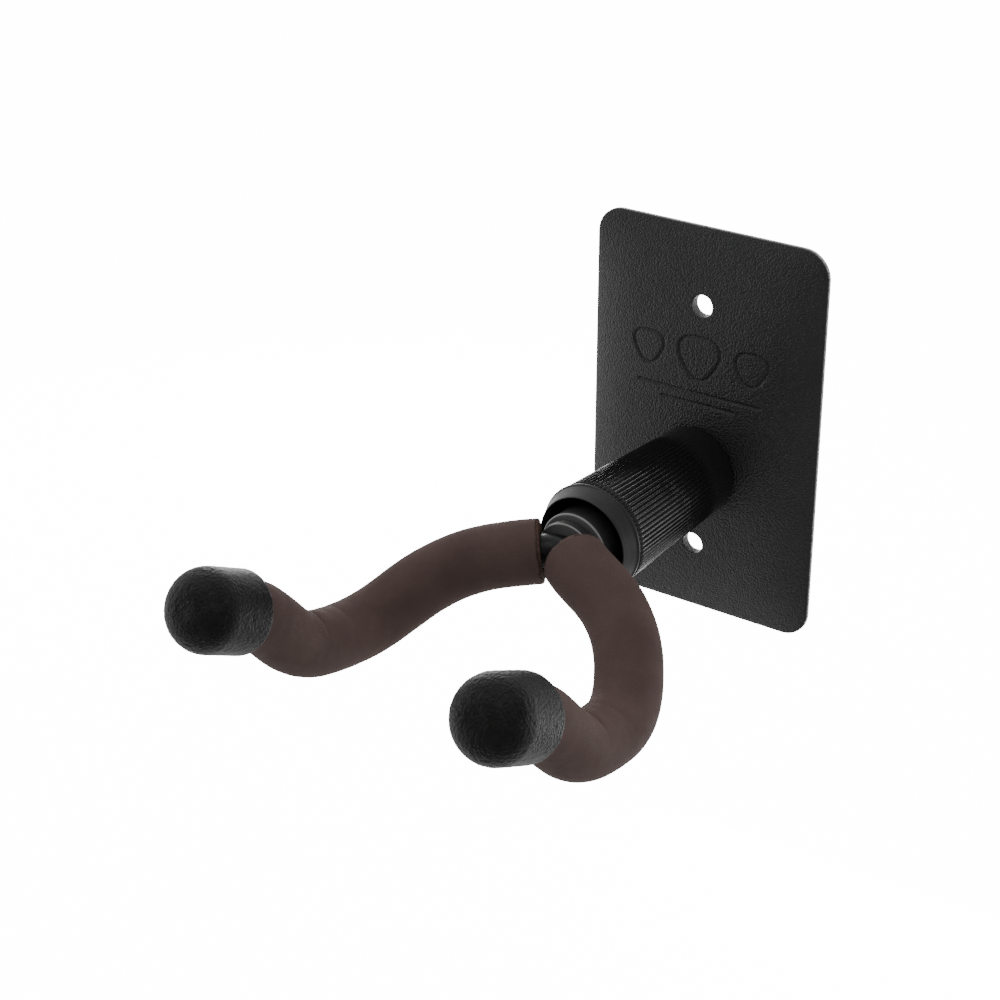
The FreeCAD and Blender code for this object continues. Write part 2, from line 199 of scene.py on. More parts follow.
CUT_PROFILE = [             # the cut end: share of the tube's radius, distance back in mm
    (0.53, 1.5), (0.54, 0.15), (0.68, 0.0), (0.84, 0.0), (0.94, 0.05), (0.985, 0.22), (1.0, 0.6),
]
CUT_FINE = 0.22 * MM        # how rough the cut face is
CUT_FINE_SCALE = 900
CUT_COARSE = 0.18 * MM
CUT_COARSE_SCALE = 260
ROD_PAST_TIP = 8.5 * MM
CAP_R = 9.6 * MM
CAP_LENGTH = 18.5 * MM
CAP_OVERLAP = 4.0 * MM
CAP_END_ROUND = 7.4 * MM
CAP_GRIP = 6.8 * MM         # how deep the foam sits in the cap
CAP_LIP = 0.5 * MM
PEBBLE_MEAN = 0.06 * MM
PEBBLE_FINE = 0.06 * MM
PEBBLE_FINE_SCALE = 1500
PEBBLE_COARSE = 0.04 * MM
PEBBLE_COARSE_SCALE = 700


def at(across, forward, up=0.0):
    """A point given from the hub's axis at the wall."""
    return Vector((across, -forward, HUB_Z + up))


# ---------------------------------------------------------------- materials

class Finish:
    """A material under construction: a Principled shader and short ways to add nodes to it."""

    def __init__(self, name, base, roughness, metallic=0.0, specular=0.5):
        self.material = bpy.data.materials.new(name)
        self.material.use_nodes = True
        self.nodes = self.material.node_tree.nodes
        self.links = self.material.node_tree.links
        self.shader = self.nodes["Principled BSDF"]
        self.set("Base Color", (*base, 1))
        self.set("Roughness", roughness)
        self.set("Metallic", metallic)
        self.set("Specular IOR Level", specular)
        self.place = self.nodes.new("ShaderNodeTexCoord").outputs["Object"]
        self.height = None

    def set(self, socket, value):
        self.shader.inputs[socket].default_value = value

    def link(self, source, socket):
        self.links.new(source, socket)

    def stretched(self, scale):
        """Object coordinates scaled unevenly."""
        mapping = self.nodes.new("ShaderNodeMapping")
        mapping.inputs["Scale"].default_value = scale
        self.link(self.place, mapping.inputs["Vector"])
        return mapping.outputs["Vector"]

    def noise(self, size, detail=3.0, rough=0.55, place=None):
        """Fractal noise whose features are about that many metres across."""
        node = self.nodes.new("ShaderNodeTexNoise")
        node.inputs["Scale"].default_value = 1 / size
        node.inputs["Detail"].default_value = detail
        node.inputs["Roughness"].default_value = rough
        self.link(place or self.place, node.inputs["Vector"])
        return node.outputs["Fac"]

    def cells(self, size, feature="F1"):
        """Distances in a pattern of irregular cells of that size in metres."""
        node = self.nodes.new("ShaderNodeTexVoronoi")
        node.feature = feature
        node.inputs["Scale"].default_value = 1 / size
        self.link(self.place, node.inputs["Vector"])
        return node.outputs["Distance"]

    def ramp(self, source, stops):
        """Maps a value through (position, grey or colour) stops."""
        node = self.nodes.new("ShaderNodeValToRGB")
        ramp = node.color_ramp
        while len(ramp.elements) < len(stops):
            ramp.elements.new(0.5)
        for element, (position, colour) in zip(ramp.elements, stops):
            element.position = position
            grey = (colour,) * 3 if isinstance(colour, (int, float)) else colour
            element.color = (*grey, 1)
        self.link(source, node.inputs["Fac"])
        return node.outputs["Color"]

    def mix(self, share, first, second):
        """Mixes two colours, given as sockets or as tuples."""
        node = self.nodes.new("ShaderNodeMix")
        node.data_type = "RGBA"
        sockets = (node.inputs[0], node.inputs[6], node.inputs[7])
        for socket, value in zip(sockets, (share, first, second)):
            if isinstance(value, bpy.types.NodeSocket):
                self.link(value, socket)
            elif isinstance(value, tuple):
                socket.default_value = (*value, 1)
            else:
                socket.default_value = value
        return node.outputs[2]

    def math(self, operation, first, second):
        """Combines two values, given as sockets or as numbers."""
        node = self.nodes.new("ShaderNodeMath")
        node.operation = operation
        for socket, value in zip(node.inputs, (first, second)):
            if isinstance(value, bpy.types.NodeSocket):
                self.link(value, socket)
            else:
                socket.default_value = value
        return node.outputs[0]

    def mask(self, name):
        """A value painted on the mesh's points."""
        node = self.nodes.new("ShaderNodeAttribute")
        node.attribute_name = name
        return node.outputs["Fac"]

    def bump(self, height, depth, strength=1.0):
        """Adds a bump of that depth in metres on top of any earlier one."""
        node = self.nodes.new("ShaderNodeBump")
        node.inputs["Strength"].default_value = strength
        node.inputs["Distance"].default_value = depth
        self.link(height, node.inputs["Height"])
        if self.height is not None:
            self.link(self.height, node.inputs["Normal"])
        self.height = node.outputs["Normal"]
        self.link(self.height, self.shader.inputs["Normal"])

    def colour(self, source):
        self.link(source, self.shader.inputs["Base Color"])

    def roughness(self, source):
        self.link(source, self.shader.inputs["Roughness"])


def wrinkle_paint():
    """Black powder coat with a fine leather grain, speckled light grey on the sheet's cut edge."""
    finish = Finish("wrinkle_black_powder_coat", (0.02, 0.02, 0.02), 0.42)
    wrinkles = finish.cells(0.42 * MM, "SMOOTH_F1")
    finish.bump(finish.ramp(wrinkles, [(0.12, 1.0), (0.7, 0.0)]), 0.17 * MM, 1.0)
    finish.bump(finish.noise(0.24 * MM, 2.0), 0.05 * MM, 0.8)
    finish.bump(finish.noise(7 * MM, 2.0), 0.06 * MM, 0.4)
    patches = finish.noise(14 * MM, 3.0)
    coat = finish.ramp(patches, [(0.3, (0.014, 0.014, 0.0145)), (0.7, (0.021, 0.021, 0.0215))])
    # Speckled light grey on the sheet's cut edge, where the edge mask is set.
    speckles = finish.ramp(finish.noise(0.9 * MM), [(0.3, 0.35), (0.55, 1.0)])
    greyed = finish.math("MULTIPLY", finish.mask("grey_edge"), speckles)
    finish.colour(finish.mix(greyed, coat, (0.45, 0.45, 0.44)))
    finish.roughness(finish.ramp(finish.noise(2.2 * MM), [(0.3, 0.36), (0.7, 0.48)]))
    return finish.material


def moulded_plastic(name, base, roughness, grain_depth):
    """Injection-moulded plastic: fine spark-eroded grain and slightly uneven gloss."""
    finish = Finish(name, base, roughness)
    lighter = tuple(1.5 * channel for channel in base)
    finish.colour(finish.mix(finish.noise(6 * MM), base, lighter))
    finish.bump(finish.noise(0.22 * MM, 3.0, 0.6), grain_depth, 0.5)
    gloss = [(0.3, roughness - 0.04), (0.7, roughness + 0.06)]
    finish.roughness(finish.ramp(finish.noise(3.5 * MM), gloss))
    return finish.material


def turned_plastic():
    """Charcoal plastic with faint lighter and darker rings round the hub's axis."""
    finish = Finish("charcoal_plastic", (0.016, 0.016, 0.016), 0.34)
    rings = finish.noise(0.3 * MM, 2.0, 0.6, finish.stretched((0.04, 1.0, 0.04)))
    finish.bump(rings, 0.012 * MM, 0.5)
    finish.colour(finish.ramp(rings, [(0.3, (0.013, 0.013, 0.013)), (0.7, (0.028, 0.028, 0.028))]))
    finish.roughness(finish.ramp(finish.noise(3 * MM), [(0.3, 0.28), (0.7, 0.42)]))
    return finish.material


def enamelled_steel():
    """Satin black enamel with a faint orange-peel surface."""
    finish = Finish("satin_black_enamel", (0.010, 0.010, 0.011), 0.36, specular=0.25)
    finish.bump(finish.noise(1.2 * MM, 2.0), 0.02 * MM, 0.5)
    finish.roughness(finish.ramp(finish.noise(2.5 * MM), [(0.3, 0.30), (0.7, 0.46)]))
    return finish.material


def painted_steel():
    """Matte black paint on turned steel: faint tool rings, a painted highlight of light grey on the
    outer front edge, which is also shinier, and a share of that painted light on the front face.
    """
    finish = Finish("matte_black_paint", (0.016, 0.016, 0.016), 0.5, specular=0.3)
    rings = finish.noise(0.3 * MM, 1.0, 0.5, finish.stretched((0.05, 1.0, 0.05)))
    finish.bump(rings, 0.006 * MM, 0.5)
    # The front rim is painted light grey as a highlight and made shinier; the front face gets a share of
    # that painted light.
    painted_rim_light = finish.mask("painted_rim_light")
    paint = finish.ramp(finish.noise(4 * MM), [(0.3, 0.012), (0.7, 0.018)])
    finish.colour(finish.mix(painted_rim_light, paint, (0.30, 0.30, 0.30)))
    dull = finish.ramp(finish.noise(2 * MM), [(0.3, 0.44), (0.7, 0.58)])
    finish.roughness(finish.mix(painted_rim_light, dull, (0.24, 0.24, 0.24)))
    return finish.material


def zinc_plate():
    """Zinc-plated steel with a mottled, slightly brushed surface."""
    finish = Finish("zinc_plated_steel", (0.55, 0.56, 0.58), 0.35, metallic=1.0)
    mottle = [(0.3, (0.46, 0.47, 0.50)), (0.7, (0.64, 0.64, 0.62))]
    finish.colour(finish.ramp(finish.noise(1.5 * MM), mottle))
    finish.bump(finish.noise(0.2 * MM, 2.0), 0.01 * MM, 0.5)
    finish.roughness(finish.ramp(finish.noise(0.8 * MM), [(0.3, 0.25), (0.7, 0.45)]))
    return finish.material


def nylon(name, base):
    """Machined nylon: dull, with fine turning marks."""
    finish = Finish(name, base, 0.45)
    turned = finish.noise(0.3 * MM, 1.0, 0.5, finish.stretched((0.06, 1.0, 0.06)))
    finish.bump(turned, 0.012 * MM, 0.5)
    finish.roughness(finish.ramp(finish.noise(1.2 * MM), [(0.3, 0.38), (0.7, 0.55)]))
    return finish.material


def skinned_foam():
    """Brown closed-cell foam tube: a smooth matte skin, and open cells where it is cut, with painted
    shade in their hollows.
    """
    finish = Finish("brown_foam_skin", (0.10, 0.066, 0.060), 0.8, specular=0.15)
    blotches = finish.noise(9 * MM, 4.0, 0.6)
    skin = finish.ramp(blotches, [(0.3, (0.090, 0.059, 0.054)), (0.7, (0.112, 0.074, 0.067))])
    # Painted shade: each pore of the cut face is painted dark at its centre, as shade in its hollow, and
    # lighter towards its rim.
    pore_shade = [(0.15, (0.022, 0.013, 0.011)), (0.6, (0.15, 0.09, 0.065))]
    shaded_pores = finish.ramp(finish.cells(0.35 * MM), pore_shade)
    finish.colour(finish.mix(finish.mask("cut"), skin, shaded_pores))
    finish.bump(finish.noise(0.45 * MM, 3.0, 0.6), 0.025 * MM, 0.5)
    open_cells = finish.math("MULTIPLY", finish.mask("cut"), finish.cells(0.4 * MM))
    finish.bump(open_cells, 0.25 * MM, 0.9)
    finish.roughness(finish.ramp(finish.noise(2.5 * MM), [(0.3, 0.74), (0.7, 0.86)]))
    return finish.material


def pebbled_rubber():
    """Black moulded rubber with a pebbled surface, dusty on its high spots."""
    finish = Finish("pebbled_black_rubber", (0.007, 0.007, 0.007), 0.44, specular=0.19)
    pebbles = finish.ramp(finish.cells(0.5 * MM, "SMOOTH_F1"), [(0.1, 1.0), (0.8, 0.0)])
    finish.bump(pebbles, 0.15 * MM, 0.9)
    finish.bump(finish.noise(0.3 * MM, 3.0, 0.65), 0.08 * MM, 0.9)
    dust = finish.ramp(finish.noise(4 * MM, 4.0), [(0.35, 0.0), (0.7, 1.0)])
    dusty = finish.math("MULTIPLY", pebbles, dust)
    finish.colour(finish.mix(dusty, (0.005, 0.005, 0.005), (0.020, 0.020, 0.020)))
    return finish.material


MATERIALS = {
    "plate_paint": wrinkle_paint(),
    "post_steel": painted_steel(),
    "hub_plastic": moulded_plastic("ribbed_black_plastic", (0.011, 0.011, 0.011), 0.19, 0.0015 * MM),
    "bezel_plastic": turned_plastic(),
    "bearing_nylon": nylon("black_nylon", (0.02, 0.02, 0.02)),
    "zinc_steel": zinc_plate(),
    "black_steel": enamelled_steel(),
    "nut_nylon": nylon("blue_nylon", (0.04, 0.10, 0.35)),
    "arm_foam": skinned_foam(),
    "cap_rubber": pebbled_rubber(),
}


# ---------------------------------------------------------------- mesh helpers

def piece(name, points, faces, slot, body, replaced, masks=None):
    """A mesh object that rides on a body and stands for CAD nodes. Masks are values on its points."""
    mesh = bpy.data.meshes.new(name)
    mesh.from_pydata([tuple(p) for p in points], [], faces)
    tidy = bmesh.new()
    tidy.from_mesh(mesh)
    bmesh.ops.recalc_face_normals(tidy, faces=tidy.faces)
    tidy.to_mesh(mesh)
    tidy.free()
    mesh.polygons.foreach_set("use_smooth", [True] * len(mesh.polygons))
    for mask, values in (masks or {}).items():
        layer = mesh.attributes.new(mask, "FLOAT", "POINT")
        layer.data.foreach_set("value", values)
    mesh.materials.append(MATERIALS[slot])
    thing = bpy.data.objects.new(name, mesh)
    bpy.context.scene.collection.objects.link(thing)
    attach(thing, body)
    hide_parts(*replaced)
    return thing


def join_rings(rings, closed=False):
    """Points and faces of a skin over rings of equal length. Closed joins the last ring to the first."""
    count = len(rings[0])
    points = [p for ring in rings for p in ring]
    faces = []
    rows = len(rings) if closed else len(rings) - 1
    for row in range(rows):
        below = row * count
        above = (row + 1) % len(rings) * count
        for i in range(count):
            j = (i + 1) % count
            faces.append((below + i, below + j, above + j, above + i))
    return points, faces


def hub_ring(forward, radius, segments):
    """A ring about the hub's axis. The radius is a number or a function of the angle."""
    ring = []
    for i in range(segments):
        angle = 2 * math.pi * i / segments
        r = radius(angle) if callable(radius) else radius
        ring.append(at(r * math.cos(angle), forward, r * math.sin(angle)))
    return ring


def rounded(outline, size, steps=4, closed=True):
    """Rounds the corners of a (forward, radius) outline, by size or as far as its sides allow."""
    points = [Vector(p) for p in outline]
    count = len(points)
    smooth = []
    for i, corner in enumerate(points):
        if not closed and i in (0, count - 1):
            smooth.append(corner)
            continue
        before = points[i - 1] - corner
        after = points[(i + 1) % count] - corner
        cut = min(size, 0.45 * before.length, 0.45 * after.length)
        start = corner + before.normalized() * cut
        end = corner + after.normalized() * cut
        for k in range(steps + 1):
            t = k / steps
            smooth.append(start * (1 - t) ** 2 + corner * 2 * t * (1 - t) + end * t * t)
    return smooth


def lathe(name, outline, rounding, slot, body, replaced, segments=128, painted_rim_light=None):
    """A turned ring or tube from a closed (forward, radius) outline, with a painted highlight on the
    front rim at the (forward, radius) given, if any.
    """
    rings = [hub_ring(p.x, p.y, segments) for p in rounded(outline, rounding)]
    points, faces = join_rings(rings, closed=True)
    masks = {"painted_rim_light": painted_rim_light_mask(points, *painted_rim_light)} if painted_rim_light else None
    return piece(name, points, faces, slot, body, replaced, masks)


def painted_rim_light_mask(points, rim_forward, rim_r):
    """How much painted light a turned part gets at each point: a full painted highlight on its front
    rim, a share of it on its front face.
    """
    values = []
    for p in points:
        ahead = -p.y - rim_forward
        outside = math.hypot(p.x, p.z - HUB_Z) - rim_r
        if math.hypot(ahead, outside) < RIM_LIGHT_REACH:
            values.append(1.0)
        else:
            values.append(FACE_PAINTED_LIGHT if abs(ahead) < 0.01 * MM and outside < 0 else 0.0)
    return values


# ---------------------------------------------------------------- wall plate

def plate_rim(width, height, corner_r, steps=14, gap=1.2 * MM):
    """(point, outward direction) pairs round a rectangle with rounded corners, centred on the origin."""
    rim = []
    for turn, (sx, sz) in enumerate(((1, 1), (-1, 1), (-1, -1), (1, -1))):
        centre = Vector((sx * (width / 2 - corner_r), sz * (height / 2 - corner_r)))
        for k in range(steps + 1):
            angle = math.pi / 2 * (turn + k / steps)
            out = Vector((math.cos(angle), math.sin(angle)))
            rim.append((centre + out * corner_r, out))
        end, out = rim[-1]
        ahead = Vector((-out.y, out.x))
        run = (width if turn % 2 == 0 else height) - 2 * corner_r
        count = int(run / gap)
        for k in range(1, count):
            rim.append((end + ahead * run * k / count, out))
    return rim


def round_rim(z, radius, steps=40):
    """(point, direction into the hole) pairs round a hole on the plate's centre line."""
    rim = []
    for k in range(steps):
        angle = -2 * math.pi * k / steps
        away = Vector((math.cos(angle), math.sin(angle)))
        rim.append((Vector((0, z)) + away * radius, -away))
    return rim


def pick_outline(centre_z, size, steps=90):
    """A plectrum's outline: a triangle with bowed sides and soft corners, point down."""
    outline = []
    for k in range(steps):
        angle = 2 * math.pi * k / steps
        radius = size * (1 + PICK_BOW * math.cos(3 * (angle + math.pi / 2)))
        outline.append(Vector((radius * math.cos(angle), centre_z + radius * math.sin(angle))))
    return outline


def stamp_strokes():
    """The emblem's strokes as pairs of (x, z) ends: a row of plectrums over two plain lines."""
    strokes = []
    for x, size in STAMP_PICKS:
        outline = [np.array((x + p.x, p.y)) for p in pick_outline(STAMP_Z, size)]
        strokes += list(zip(outline, outline[1:] + outline[:1]))
    for z, reach in STAMP_LINES:
        strokes.append((np.array((-reach, z)), np.array((reach, z))))
    return strokes


def stamp_depth(points):
    """How deep the plate's stamped emblem is at each (x, z) point."""
    nearest = np.full(len(points), 1.0)
    for a, b in stamp_strokes():
        along = b - a
        t = np.clip((points - a) @ along / (along @ along), 0, 1)
        nearest = np.minimum(nearest, np.linalg.norm(points - a - t[:, None] * along, axis=1))
    return STAMP_DEPTH * np.exp(-(nearest / STAMP_WIDTH) ** 2)


def sheet_triangles(rims, collars, width, height, hub_hole_r):
    """A flat triangulation of the sheet, with its rims set back by the bevel.

    Returns its points, the faces of the front and the back skin, and the point numbers of each rim
    and collar.
    """
    outlines = [[p - out * PLATE_BEVEL for p, out in rim] for rim in rims]
    outlines += [[p for p, _ in collar] for collar in collars]
    flat = []
    loops = []
    for outline in outlines:
        loops.append(list(range(len(flat), len(flat) + len(outline))))
        flat += outline
    edges = [(a, b) for loop in loops for a, b in zip(loop, loop[1:] + loop[:1])]
    flat += plate_grid(width, height, hub_hole_r)
    points, _, triangles, origins, _, _ = delaunay_2d_cdt(flat, edges, [], 1, 1e-7)
    front, back = [], []
    for triangle in triangles:
        centre = sum((points[i] for i in triangle), Vector((0, 0))) / 3
        from_screw = min((centre - Vector((0, s * SCREW_SPACING / 2))).length for s in (-1, 1))
        from_hub = (centre - Vector((0, HUB_Z))).length
        if from_screw > SCREW_HOLE_R + PLATE_BEVEL and from_hub > hub_hole_r + PLATE_BEVEL:
            front.append(tuple(triangle))
            if from_screw > SCREW_COLLAR_R:
                back.append(tuple(i + len(points) for i in reversed(triangle)))
    new_index = {old: new for new, olds in enumerate(origins) for old in olds}
    return points, front, back, [[new_index[i] for i in loop] for loop in loops]


def wall_plate():
    """The crowned sheet: front and back skins over one flat triangulation, and rounded cut edges."""
    low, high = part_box("wall_plate")
    width, height = high.x - low.x, high.z - low.z
    hub_hole_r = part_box("ribbed_sleeve")[1].x - HUB_HOLE_INSET
    screws = (SCREW_SPACING / 2, -SCREW_SPACING / 2)
    rims = [plate_rim(width, height, PLATE_CORNER_R)]
    rims += [round_rim(z, SCREW_HOLE_R) for z in screws]
    rims.append(round_rim(HUB_Z, hub_hole_r))
    collars = [round_rim(z, SCREW_COLLAR_R) for z in screws]

    def crown(x, z):
        return PLATE_CROWN * (1 - (2 * x / width) ** 4) * (1 - (2 * z / height) ** 4)

    flat, front_faces, back_faces, loops = sheet_triangles(rims, collars, width, height, hub_hole_r)
    place = np.array([tuple(p) for p in flat])
    rise = crown(place[:, 0], place[:, 1])
    stamp = stamp_depth(place)
    front = np.column_stack([place[:, 0], -(rise + PLATE_EDGE - stamp), place[:, 1]])
    back = np.column_stack([place[:, 0], -np.maximum(rise - PLATE_LAND_DROP, 0), place[:, 1]])
    points = [Vector(p) for p in front] + [Vector(p) for p in back]
    faces = front_faces + back_faces
    grey_edge = [0.0] * len(points)

    def add_ring(rim, inset, forward, greyed):
        """Adds points along a rim, moved into the sheet, at forward(p). Returns their numbers."""
        for p, out in rim:
            spot = p - out * inset
            points.append(Vector((spot.x, -forward(p), spot.y)))
            grey_edge.append(greyed)
        return list(range(len(points) - len(rim), len(points)))

    def rear_edge(p):
        return max(crown(p.x, p.y) - PLATE_LAND_DROP, 0) + PLATE_BEVEL

    for number, (rim, greyed) in enumerate(zip(rims, GREY_RIMS)):
        rows = [loops[number]]
        for share, deep in BEVEL_STEPS:
            rows.append(add_ring(rim, PLATE_BEVEL * (1 - share),
                                 lambda p: crown(p.x, p.y) + PLATE_EDGE - PLATE_BEVEL * deep,
                                 greyed if share == 1.0 else BEVEL_GREY * greyed))
        if number in (1, 2):
            collar = collars[number - 1]
            rows.append(add_ring(rim, 0, lambda p: SCREW_COLLAR_REAR + PLATE_BEVEL, greyed))
            rows.append(add_ring(rim, PLATE_BEVEL, lambda p: SCREW_COLLAR_REAR, 0))
            rows.append(add_ring(collar, -PLATE_BEVEL, lambda p: SCREW_COLLAR_REAR, 0))
            rows.append(add_ring(collar, 0, lambda p: SCREW_COLLAR_REAR + PLATE_BEVEL, 0))
            rows.append([i + len(flat) for i in loops[len(rims) + number - 1]])
        else:
            rows.append(add_ring(rim, 0, rear_edge, greyed))
            rows.append([i + len(flat) for i in loops[number]])
        for first, second in zip(rows, rows[1:]):
            faces += band(first, second)
    return piece("plate_skin", points, faces, "plate_paint", ROOT, ["wall_plate"], {"grey_edge": grey_edge})


def band(first, second):
    """Faces between two closed rows of point numbers."""
    count = len(first)
    return [(first[i], first[(i + 1) % count], second[(i + 1) % count], second[i]) for i in range(count)]


def plate_grid(width, height, hub_hole_r):
    """Points inside the plate, close together where the emblem is stamped."""
    holes = [(SCREW_SPACING / 2, SCREW_COLLAR_R), (-SCREW_SPACING / 2, SCREW_COLLAR_R)]
    holes.append((HUB_Z, hub_hole_r))

    def clear(x, z):
        past_x = max(abs(x) - width / 2 + PLATE_CORNER_R, 0)
        past_z = max(abs(z) - height / 2 + PLATE_CORNER_R, 0)
        if math.hypot(past_x, past_z) > PLATE_CORNER_R - GRID_MARGIN:
            return False
        return all(math.hypot(x, z - centre) > radius + GRID_MARGIN for centre, radius in holes)

    reach, low, high = STAMP_AREA
    grid = []
    for step, dense in ((SHEET_GRID, False), (STAMP_GRID, True)):
        for i in range(int(width / step) + 1):
            for j in range(int(height / step) + 1):
                x = -width / 2 + (i + 0.5 * (j % 2)) * step
                z = -height / 2 + j * step
                in_stamp = abs(x) < reach and low < z < high
                if in_stamp == dense and clear(x, z):
                    grid.append(Vector((x, z)))
    return grid


# ---------------------------------------------------------------- hub

def ribbed_sleeve():
    """The sleeve's outside with its ribs, and its bore as far as the recess behind the bezel."""
    low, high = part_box("ribbed_sleeve")
    rear, front = -high.y, -low.y
    front_r = (high.x - low.x) / 2
    rear_r = front_r - SLEEVE_TAPER
    segments = RIB_COUNT * RIB_STEPS
    ribs_full = RIB_REAR + RIB_RUN_OUT

    def outside(forward):
        crest = rear_r + (front_r - rear_r) * (forward - rear) / (front - rear)
        into = min(max((forward - RIB_REAR) / RIB_RUN_OUT, 0), 1)
        depth = RIB_DEPTH * math.sin(into * math.pi / 2)

        def radius(angle):
            wave = (1 + math.cos(RIB_COUNT * angle)) / 2
            return crest - depth * (1 - wave ** RIB_SHARPNESS)
        return radius

    stations = [rear + SLEEVE_EDGE, rear + 0.8 * MM, rear + 4 * MM, RIB_REAR - 1 * MM]
    stations += [RIB_REAR + RIB_RUN_OUT * k / 6 for k in range(7)]
    stations += [ribs_full + (front - ribs_full) * k / 12 for k in range(1, 13)]
    inside = [(front, SLEEVE_MOUTH_R), (SLEEVE_MOUTH_REAR, SPIGOT_SEAT_R),
              (SLEEVE_MOUTH_REAR - 0.1 * MM, SLEEVE_RECESS_R),
              (SLEEVE_RECESS_REAR + SLEEVE_EDGE, SLEEVE_RECESS_R),
              (SLEEVE_RECESS_REAR, SLEEVE_RECESS_R - SLEEVE_EDGE), (SLEEVE_RECESS_REAR, SLEEVE_BORE_R)]
    rings = [hub_ring(rear, SLEEVE_BORE_R, segments), hub_ring(rear, rear_r - SLEEVE_EDGE, segments)]
    rings += [hub_ring(forward, outside(forward), segments) for forward in stations]
    rings += [hub_ring(forward, radius, segments) for forward, radius in inside]
    points, faces = join_rings(rings, closed=True)
    return piece("ribbed_grip", points, faces, "hub_plastic", ROOT, ["ribbed_sleeve"])


def front_bezel():
    """The tapered collar, with a rolled front edge and a bead where it meets the sleeve."""
    low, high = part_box("front_bezel")
    rear, front = -high.y, -low.y
    lip_r = (high.x - low.x) / 2
    seat = -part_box("ribbed_sleeve")[0].y
    outline = [(rear, BEZEL_BORE_R), (front - 0.4 * MM, BEZEL_BORE_R),
               (front, BEZEL_BORE_R + 0.15 * MM), (front, BEZEL_FRONT_R - 0.1 * MM),
               (front - 0.5 * MM, BEZEL_FRONT_R + 0.1 * MM),
               (seat + 0.9 * MM, lip_r - 0.42 * MM), (seat + 0.72 * MM, lip_r - 0.10 * MM),
               (seat + 0.4 * MM, lip_r), (seat, lip_r - 0.15 * MM),
               (seat, SPIGOT_SEAT_R), (rear, SPIGOT_SEAT_R)]
    return lathe("bezel_collar", outline, 0.25 * MM, "bezel_plastic", ROOT, ["front_bezel"], 192)


def hub_post():
    """The steel tube with its front rim, its clip groove, and its welded flange behind the plate."""
    low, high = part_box("hub_post")
    rear, front = -high.y, -low.y
    groove_rear, groove_front = -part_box("sleeve_clip")[1].y, -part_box("sleeve_clip")[0].y
    outline = [(rear, NUT_WELL_R), (NUT_WELL_FRONT, NUT_WELL_R), (NUT_WELL_FRONT, BUSH_SEAT_R),
               (front, BUSH_SEAT_R), (front, POST_R),
               (groove_front, POST_R), (groove_front, CLIP_GROOVE_R),
               (groove_rear, CLIP_GROOVE_R), (groove_rear, POST_R),
               (FLANGE_FRONT, POST_R), (FLANGE_FRONT, FLANGE_R),
               (FLANGE_FRONT - 0.05 * MM, FLANGE_R + WELD_LEG), (FLANGE_FRONT - WELD_LEG, FLANGE_R),
               (rear, FLANGE_R)]
    # The post's front rim gets a painted highlight, and its front face a share of that painted light.
    return lathe("post_tube", outline, POST_RIM_ROUND, "post_steel", ROOT, ["hub_post"],
                 painted_rim_light=(front, POST_R))


# ---------------------------------------------------------------- swivel

def swivel_stem():
    """The pin: a helical thread, the shaft, and the round head in front of the post."""
    tip = -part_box("swivel_stem")[1].y
    head_rear = -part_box("thrust_washer")[0].y
    segments = 96

    def threaded(forward):
        fade = min((STEM_SHOULDER - forward) / THREAD_FADE, 1, (forward - tip) / THREAD_LEAD + 0.2)

        def radius(angle):
            phase = (forward / THREAD_PITCH + angle / (2 * math.pi)) % 1
            groove = abs(2 * phase - 1)
            return THREAD_R - THREAD_DEPTH * (1 - fade * (1 - groove))
        return radius

    rings = [hub_ring(tip, POLE_R, segments), hub_ring(tip, THREAD_TIP_R, segments)]
    rows = THREAD_ROWS * int((STEM_SHOULDER - tip) / THREAD_PITCH)
    for k in range(1, rows + 1):
        forward = tip + (STEM_SHOULDER - tip) * k / rows
        rings.append(hub_ring(forward, threaded(forward), segments))
    head = rounded([(STEM_SHOULDER, 3.0 * MM), (STEM_SHOULDER, STEM_SHAFT_R), (head_rear, STEM_SHAFT_R),
                    (head_rear, STEM_HEAD_R), (STEM_FRONT, STEM_HEAD_R), (STEM_FRONT, 5 * MM),
                    (STEM_FRONT, 2.5 * MM), (STEM_FRONT, POLE_R)], STEM_HEAD_ROUND, 6, closed=False)
    rings += [hub_ring(p.x, p.y, segments) for p in head[1:]]
    points, faces = join_rings(rings)
    count = len(points)
    faces += [tuple(range(segments)), tuple(range(count - segments, count))]
    # The head's front rim gets a painted highlight, and its front face a share of that painted light.
    masks = {"painted_rim_light": painted_rim_light_mask(points, STEM_FRONT, STEM_HEAD_R)}
    return piece("stem_pin", points, faces, "post_steel", YOKE, ["swivel_stem"], masks)


# ---------------------------------------------------------------- yoke

def corner_at(corner, side):
    """A corner of the right arm (side 1), or the same one on the left arm (side -1)."""
    across, forward, up = corner
    return at(side * across * MM, forward * MM, up * MM)


def bent_line(corners, bends, gap=0.5 * MM):
    """Evenly spaced points along straight runs joined by tangent arcs."""
    line = [corners[0]]
    start = corners[0]
    for before, corner, after, radius in zip(corners, corners[1:], corners[2:], bends):
        into = (before - corner).normalized()
        out = (after - corner).normalized()
        half_turn = (math.pi - into.angle(out)) / 2
        tangent = radius * math.tan(half_turn)
        first = corner + into * tangent
        centre = corner + (into + out).normalized() * (radius / math.cos(half_turn))
        line += straight(start, first, gap)
        steps = max(int(2 * half_turn * radius / gap), 2)
        axis = into.cross(out)
        arm = first - centre
        for k in range(1, steps + 1):
            line.append(centre + Matrix.Rotation(-2 * half_turn * k / steps, 3, axis) @ arm)
        start = line[-1]
    line += straight(start, corners[-1], gap)
    return line


def straight(start, end, gap):
    """Points from start, which is left out, to end."""
    steps = max(int((end - start).length / gap), 1)
    return [start.lerp(end, k / steps) for k in range(1, steps + 1)]


def arm_tip(side, past):
    """A point on the arm's last straight run, at that distance past ARM_TIP."""
    tip = corner_at(ARM_TIP, side)
    ahead = (tip - corner_at(ARM_CORNERS[-1], side)).normalized()
    return tip + ahead * past


